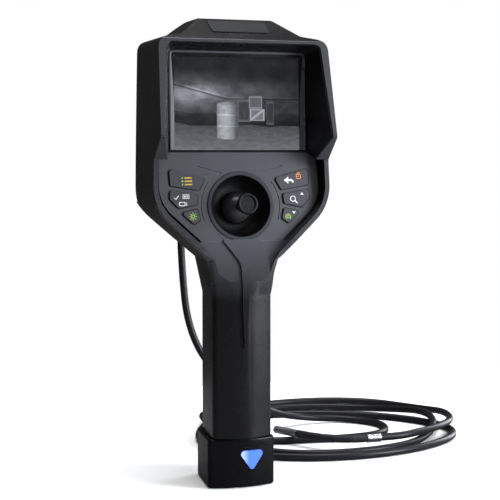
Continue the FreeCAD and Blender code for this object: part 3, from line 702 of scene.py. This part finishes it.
def tip_sleeves(material):
    """Short braided sleeves that bridge the gaps between the bending section's links."""
    sleeves = []
    count = 32
    rings = 9
    for k, (x, y) in enumerate(TIP_JOINTS):
        before = Vector(TIP_JOINTS[max(k - 1, 0)])
        after = Vector(TIP_JOINTS[min(k + 1, len(TIP_JOINTS) - 1)])
        way = (after - before).normalized()
        centre = Vector((x, y, 0)) * MM + Vector((0, 0, TIP_Z))
        way = Vector((way.x, way.y, 0))
        side = Vector((-way.y, way.x, 0))
        verts = []
        for r in range(rings):
            along = SLEEVE_REACH * (2 * r / (rings - 1) - 1)
            radius = SLEEVE_R * (1 + 0.03 * math.cos(r * math.pi))
            for i in range(count):
                turn = 2 * math.pi * i / count
                around = side * math.cos(turn) + Vector((0, 0, 1)) * math.sin(turn)
                verts.append(centre + way * along + around * radius)
        faces = ring_faces(rings, count)
        faces.append(tuple(range(count)))
        faces.append(tuple(range((rings - 1) * count, rings * count)))
        sleeve = new_mesh(f"tip_sleeve_{k + 1}", verts, faces)
        turn_outwards(sleeve)
        sleeve.data.materials.append(material)
        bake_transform(sleeve)
        sleeves.append(sleeve)
    return sleeves


# ---- Thumb cap ----
def thumb_cap(material):
    """The joystick's cap: a knurled edge, a raised rim and a face with small crossed ribs."""
    count = 144
    side_steps = 6
    rim_steps = 8
    face_steps = 26
    face_r = CAP_R - CAP_RIM
    profile = [(0, CAP_UNDER, 0), (5.2 * MM, CAP_UNDER, 0), (CAP_R - 0.5 * MM, CAP_UNDER + 1.3 * MM, 0)]
    for k in range(side_steps + 1):
        height = CAP_UNDER + 1.7 * MM + 1.5 * MM * k / side_steps
        profile.append((CAP_R, height, math.sin(math.pi * k / side_steps)))
    for k in range(1, rim_steps + 1):
        angle = math.pi * k / rim_steps
        half = CAP_RIM / 2
        radius = CAP_R - half + half * math.cos(angle)
        profile.append((radius, CAP_TOP - 1.0 * MM + 1.0 * MM * math.sin(angle), 0))
    for k in range(1, face_steps + 1):
        profile.append((face_r * (1 - k / face_steps), CAP_TOP - CAP_DISH, 0))
    verts = []
    for radius, out, knurl in profile:
        for i in range(count):
            turn = 2 * math.pi * i / count
            reach = radius + 0.14 * MM * knurl * (0.5 - 0.5 * math.cos(36 * turn)) - 0.14 * MM * knurl
            x = reach * math.cos(turn)
            s = reach * math.sin(turn)
            height = out
            if radius < face_r and out > CAP_UNDER + 1 * MM:
                near = 1 - (radius / face_r) ** 6
                height += 0.16 * MM * near * math.sin(x / (0.32 * MM)) * math.sin(s / (0.32 * MM))
            verts.append(on_panel(x, s, height))
    cap = new_mesh("thumb_cap", verts, ring_faces(len(profile), count))
    work = bmesh.new()
    work.from_mesh(cap.data)
    bmesh.ops.remove_doubles(work, verts=work.verts, dist=1e-7)
    bmesh.ops.recalc_face_normals(work, faces=work.faces)
    work.to_mesh(cap.data)
    work.free()
    cap.data.shade_smooth()
    cap.data.materials.append(material)
    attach(cap, "joystick")
    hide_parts("joystick_cap")


# ---- Screen picture ----
def soft_box(u, v, low, high, edge=0.006):
    """1 inside a rectangle of the picture, with a soft edge."""
    inside = min(u - low[0], high[0] - u, v - low[1], high[1] - v)
    return min(max(inside / edge, 0.0), 1.0)


def crate(level, u, v, low, high, tone, braced=True):
    """A wooden crate with a paler frame and one slanting brace, laid over the level behind it."""
    inside = soft_box(u, v, low, high)
    if inside == 0:
        return level
    width = high[0] - low[0]
    height = high[1] - low[1]
    a = (u - low[0]) / width
    b = (v - low[1]) / height
    rail = 0.11
    face = tone * (0.8 + 0.25 * noise.noise(Vector((u * 60, v * 9, 3))))
    if min(a, 1 - a, b, 1 - b) < rail or (braced and abs(a - b) < rail):
        face = tone * 1.9
    return level + (face - level) * inside


def drum(level, u, v, centre, half, low, high, tone):
    """A standing steel drum: bright along its middle, with two hoops and a darker lid."""
    across = (u - centre) / half
    if abs(across) > 1:
        return level
    bow = 0.018 * (1 - across * across)
    if not low - bow < v < high + bow:
        return level
    round_light = max(0.0, 1 - (across + 0.25) ** 2)
    share = (v - low) / (high - low)
    face = tone * (0.25 + 0.75 * round_light)
    if abs(share - 0.34) < 0.022 or abs(share - 0.67) < 0.022:
        face *= 1.5
    if v > high - bow:
        face *= 0.7
    return face * (0.9 + 0.2 * noise.noise(Vector((u * 25, v * 25, 9))))


def picture_level(u, v):
    """Brightness of the picture at a place: a dim store room with a lamplit wall, a drum and crates."""
    wall_foot = 0.27 + 0.03 * noise.noise(Vector((u * 7, 1.5, 0)))
    glow = 0.22 * math.exp(-((u - 0.16) / 0.24) ** 2 - ((v - 0.60) / 0.13) ** 2)
    far_glow = 0.05 * math.exp(-((u - 0.62) / 0.34) ** 2 - ((v - 0.62) / 0.10) ** 2)
    level = 0.010 + glow + far_glow + 0.02 * max(0.0, 1 - abs(v - 0.42) / 0.2)
    rail = 0.70 - 0.36 * u if u < 0.42 else 0.55
    if abs(v - rail) < 0.008:
        level *= 0.35
    elif abs(v - rail - 0.018) < 0.008:
        level *= 1.5
    level *= 0.85 + 0.5 * noise.fractal(Vector((u * 9, v * 9, 0)), 1.0, 2.0, 4)
    if v < wall_foot:
        depth = (wall_foot - v) / wall_foot
        rows = 0.5 + 0.5 * math.sin(26 / (depth + 0.35) + 5 * u)
        rough = 0.5 + 0.5 * noise.fractal(Vector((u * 16, v * 34, 4)), 1.0, 2.0, 5)
        level = 0.035 + 0.085 * depth * (0.55 + 0.3 * rough + 0.15 * rows) + 0.03 * rough
    elif v < wall_foot + 0.13:
        heap = 0.5 + 0.5 * noise.fractal(Vector((u * 12, v * 14, 7)), 1.0, 2.0, 4)
        level = level * (0.35 + 0.6 * heap)
    level = crate(level, u, v, (0.50, 0.30), (0.615, 0.55), 0.045, braced=False)
    level = crate(level, u, v, (0.60, 0.315), (0.725, 0.445), 0.16)
    level = crate(level, u, v, (0.595, 0.445), (0.705, 0.585), 0.105, braced=False)
    level = crate(level, u, v, (0.735, 0.27), (0.80, 0.53), 0.035, braced=False)
    level = drum(level, u, v, 0.425, 0.085, 0.13, 0.50, 0.32)
    return max(level, 0.004)


def screen_view(material):
    """The lit picture just behind the glass."""
    columns = 240
    rows = 170
    verts = []
    levels = []
    for r in range(rows + 1):
        for c in range(columns + 1):
            u = c / columns
            v = r / rows
            x = (2 * u - 1) * (GLASS_HALF - 0.1 * MM)
            s = GLASS_LOW + 0.1 * MM + (GLASS_HIGH - GLASS_LOW - 0.2 * MM) * v
            verts.append(on_screen(x, s, GLASS_BACK))
            levels.append(picture_level(u, v))
    faces = [(r * (columns + 1) + c, r * (columns + 1) + c + 1, (r + 1) * (columns + 1) + c + 1,
              (r + 1) * (columns + 1) + c) for r in range(rows) for c in range(columns)]
    view = new_mesh("screen_view", verts, faces, smooth=False)
    attribute = view.data.attributes.new("picture", "FLOAT", "POINT")
    attribute.data.foreach_set("value", levels)
    view.data.materials.append(material)
    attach(view, "housing")


# ---- Key symbols ----
def key_centre(node):
    """Middle of a key, as (sideways, up the panel)."""
    low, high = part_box(node)
    middle = (low + high) / 2
    return middle.x, (middle.z - PANEL_ORIGIN.z) / math.cos(PANEL_TILT)


def rectangle(x0, s0, x1, s1):
    return [(x0, s0), (x1, s0), (x1, s1), (x0, s1)]


def frame_lines(x0, s0, x1, s1, width):
    """The four sides of a box, as bands."""
    corners = rectangle(x0, s0, x1, s1)
    return [stroke([corners[k], corners[(k + 1) % 4]], width) for k in range(4)]


def disc(centre, radius):
    return arc_points(centre, radius, 0, 360, 20)[:-1]


def key_seams(nodes, material):
    """The dark seam round each key: a flat rubber band on the panel along the key's outline."""
    for name in KEY_NODES:
        corners = []
        for vertex in nodes[name].data.vertices:
            place = nodes[name].matrix_world @ vertex.co - PANEL_ORIGIN
            up = place.y * math.sin(PANEL_TILT) + place.z * math.cos(PANEL_TILT)
            out = place.z * math.sin(PANEL_TILT) - place.y * math.cos(PANEL_TILT)
            if out > KEY_PROUD / 2:
                corners.append(Vector((place.x, up)))
        hull = [corners[k] for k in geometry.convex_hull_2d(corners)]
        centre = sum(hull, Vector((0, 0))) / len(hull)
        edges = []
        for reach in (SEAM_INNER, SEAM_OUTER):
            for corner in hull:
                away = corner - centre
                edges.append(on_panel(*(centre + away * (1 + reach / away.length)), SEAM_RAISE))
        seam = new_mesh(f"seam_{name}", edges, ring_faces(2, len(hull)), smooth=False)
        seam.data.materials.append(material)
        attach(seam, "housing")


def key_icons(white, amber, green, orange):
    lines = [rectangle(-1.6, s - 0.5, 3.9, s + 0.5) for s in (-2.3, 0, 2.3)]
    flat_icon("icon_menu_lines", lines, "key_menu", amber)
    dots = [disc((-3.2, s), 0.6) for s in (-2.3, 0, 2.3)]
    flat_icon("icon_menu_dots", dots, "key_menu", green)

    tick = [stroke([(-7.0, 2.0), (-5.9, 0.9), (-3.8, 3.4)], 0.6)]
    picture = frame_lines(-0.6, 1.5, 3.8, 4.2, 0.4)
    picture += [rectangle(0.2, 2.3, 1.3, 3.4), rectangle(1.9, 2.3, 3.0, 3.4)]
    camera = frame_lines(-3.4, -3.6, 0.6, -1.2, 0.5)
    camera += [stroke([(0.6, -2.8), (1.9, -3.6), (1.9, -1.2), (0.6, -2.0)], 0.5)]
    flat_icon("icon_ok_marks", tick + picture + camera, "key_ok", white)

    rays = []
    for k in range(8):
        way = Vector((math.cos(math.radians(45 * k)), math.sin(math.radians(45 * k))))
        rays.append(stroke([way * 1.8, way * 2.9], 0.55))
    ring = [stroke(arc_points((0, 0), 1.15, 0, 360), 0.6)]
    flat_icon("icon_lamp_sun", rays + ring, "key_lamp", green, (0.8, 1.0))

    head = [(-6.4, 0.2), (-3.0, 3.0), (-3.0, -2.4)]
    tail = stroke([(-3.2, 0.3), (-1.4, 0.3)] + arc_points((-1.4, -1.7), 2.0, 80, 5, 12), 1.5)
    flat_icon("icon_back_arrow", [head, tail], "key_back", white)
    lock = frame_lines(3.4, 1.4, 6.6, 4.4, 0.5)
    lock += [stroke(arc_points((5.0, 4.4), 1.1, 0, 180), 0.5), disc((5.0, 2.9), 0.5)]
    flat_icon("icon_back_lock", lock, "key_back", orange)

    glass = [stroke(arc_points((-2.2, 0.5), 1.9, 0, 360), 0.6), stroke([(-0.8, -0.9), (1.2, -2.8)], 0.9)]
    up = [(3.4, 3.3), (6.2, 3.3), (4.8, 5.2)]
    flat_icon("icon_zoom_marks", glass + [up], "key_zoom", white, (-0.5, 0))

    outer = stroke(arc_points((-1.6, -0.2), 1.9, -60, 240), 0.6)
    inner = stroke(arc_points((-1.6, -0.2), 0.8, 0, 360), 0.5)
    flat_icon("icon_mode_round", [outer, inner], "key_mode", green)
    down = [(1.6, 3.6), (4.4, 3.6), (3.0, 1.8)]
    flat_icon("icon_mode_down", [down], "key_mode", white)


def main():
    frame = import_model()
    nodes = frame["nodes"]
    materials = {slot: make() for slot, make in SLOT_MATERIALS.items()}
    make_camera()
    make_floor()
    make_light()
    finish_cad_nodes(nodes, frame["record"], materials)
    cord = make_cord(materials["tube_black"])
    sleeves = tip_sleeves(materials["bending_black"])
    thumb_cap(materials["cap_black"])
    screen_view(picture_glow())
    white = icon_ink("ink_white", (0.62, 0.62, 0.62), 0.15)
    amber = icon_ink("ink_amber", (0.45, 0.29, 0.025), 0.12)
    green = icon_ink("ink_green", (0.22, 0.38, 0.04), 0.15)
    orange = icon_ink("ink_orange", (0.60, 0.22, 0.02), 0.25)
    key_icons(white, amber, green, orange)
    key_seams(nodes, rubber("seam_rubber", (0.0025, 0.0025, 0.003), dust=0.004))
    bpy.context.scene.view_settings.view_transform = "Standard"


main()
